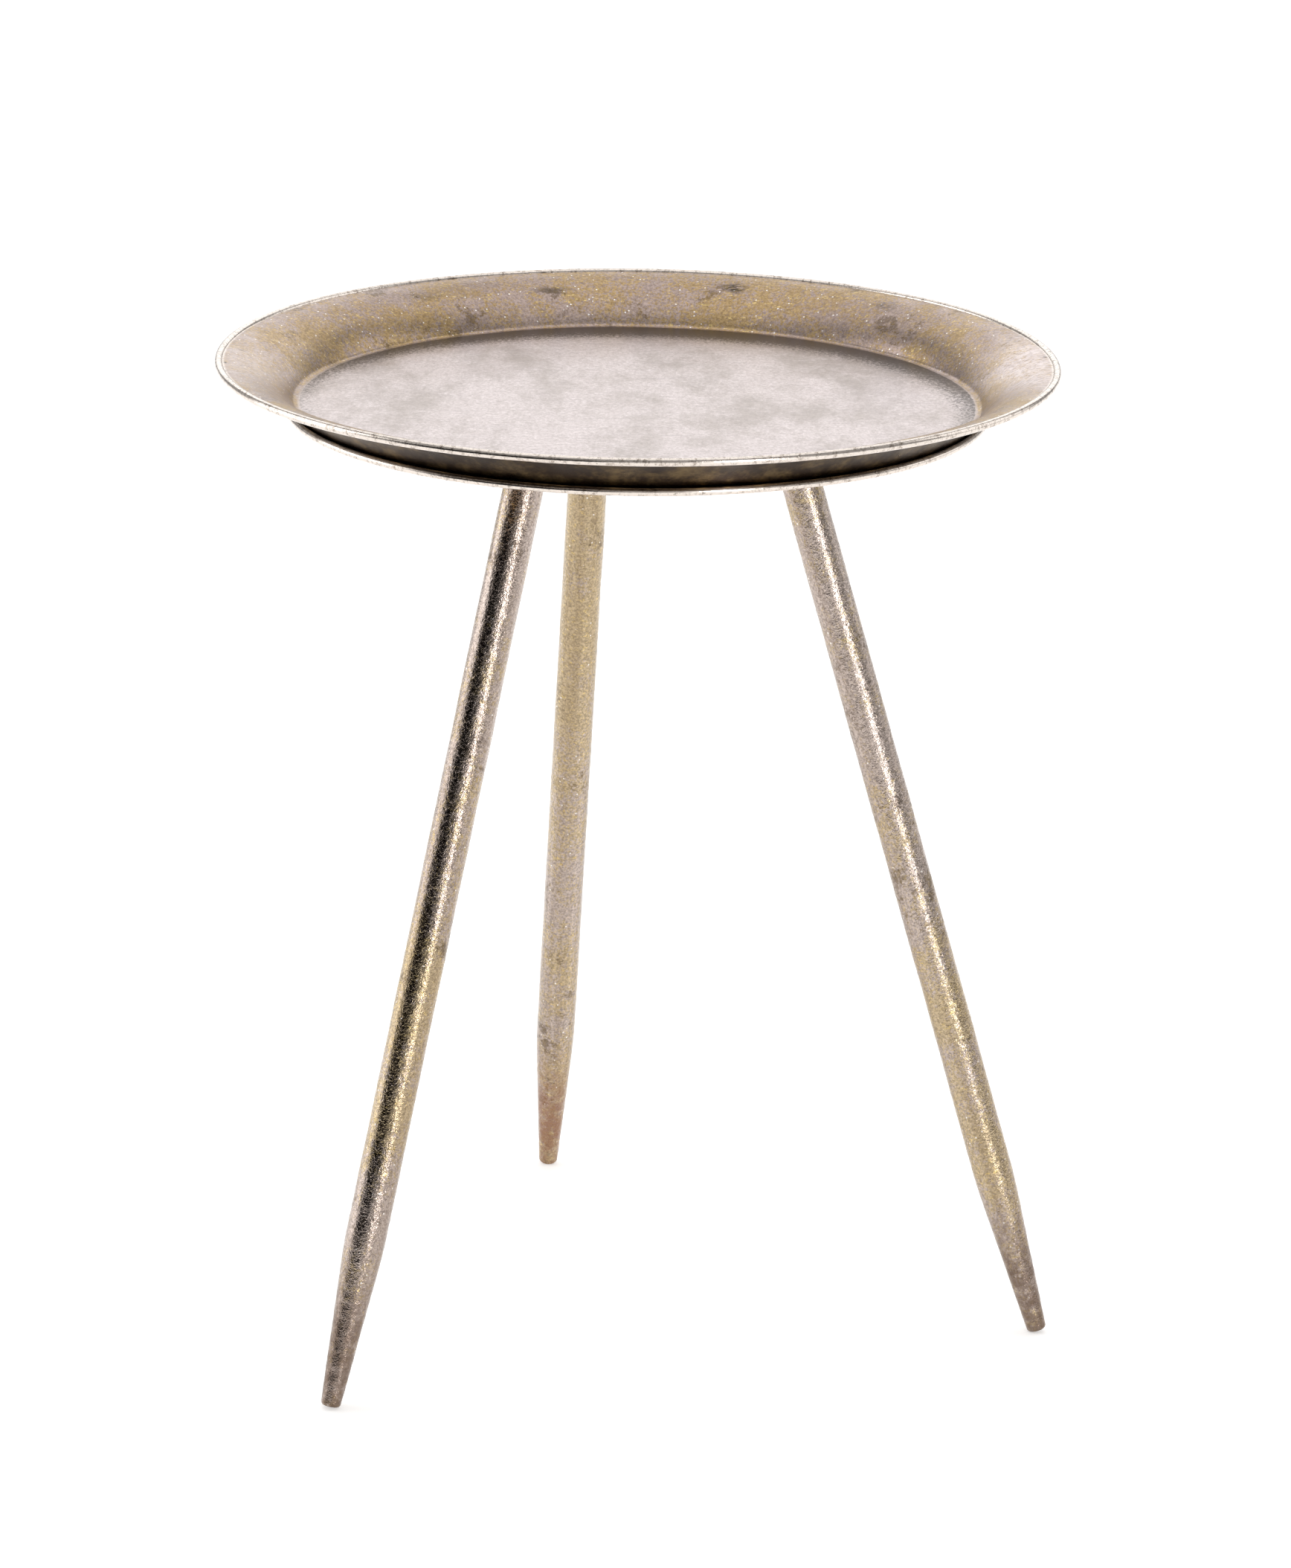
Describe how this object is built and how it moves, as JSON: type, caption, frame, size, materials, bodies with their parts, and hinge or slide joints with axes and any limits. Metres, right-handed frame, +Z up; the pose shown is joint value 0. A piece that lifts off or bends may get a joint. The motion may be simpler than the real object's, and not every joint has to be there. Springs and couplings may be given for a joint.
{
  "type": "tray table",
  "caption": "Low round side table: a loose flared metal tray resting on a rolled-edge plate, on splayed tapered legs that screw into angled sockets.",
  "frame": {"origin": "on the tray's axis, at floor level under the feet", "axes": "+Z up along the tray's axis; +Y away from the viewer of the front, +X to that viewer's right"},
  "size_m": [0.4052, 0.4042, 0.4744],
  "materials": {
    "tray_metal": "silvery champagne patina over brass, brushed and mottled, satin",
    "plate_metal": "antique brass patina, satin",
    "leg_metal": "antique brass and grey patina, satin, speckled",
    "steel": "zinc-plated, satin",
    "felt": "pressed felt"
  },
  "bodies": {
    "base": {"support_plate": "plate_metal", "tray_pad_a": "felt", "leg_a": "leg_metal", "leg_plug_a": "steel", "leg_stud_a": "steel", "spring_washer_a": "steel", "leg_socket_a": "plate_metal", "tray_pad_b": "felt", "leg_b": "leg_metal", "leg_plug_b": "steel", "leg_stud_b": "steel", "spring_washer_b": "steel", "leg_socket_b": "plate_metal", "tray_pad_c": "felt", "leg_c": "leg_metal", "leg_plug_c": "steel", "leg_stud_c": "steel", "spring_washer_c": "steel", "leg_socket_c": "plate_metal"},
    "tray": {"tray": "tray_metal"}
  },
  "joints": [
    {"name": "tray_lift", "type": "slide", "parent": "base", "child": "tray", "axis": [0, 0, 1], "range_m": [0, 0.12]}
  ]
}
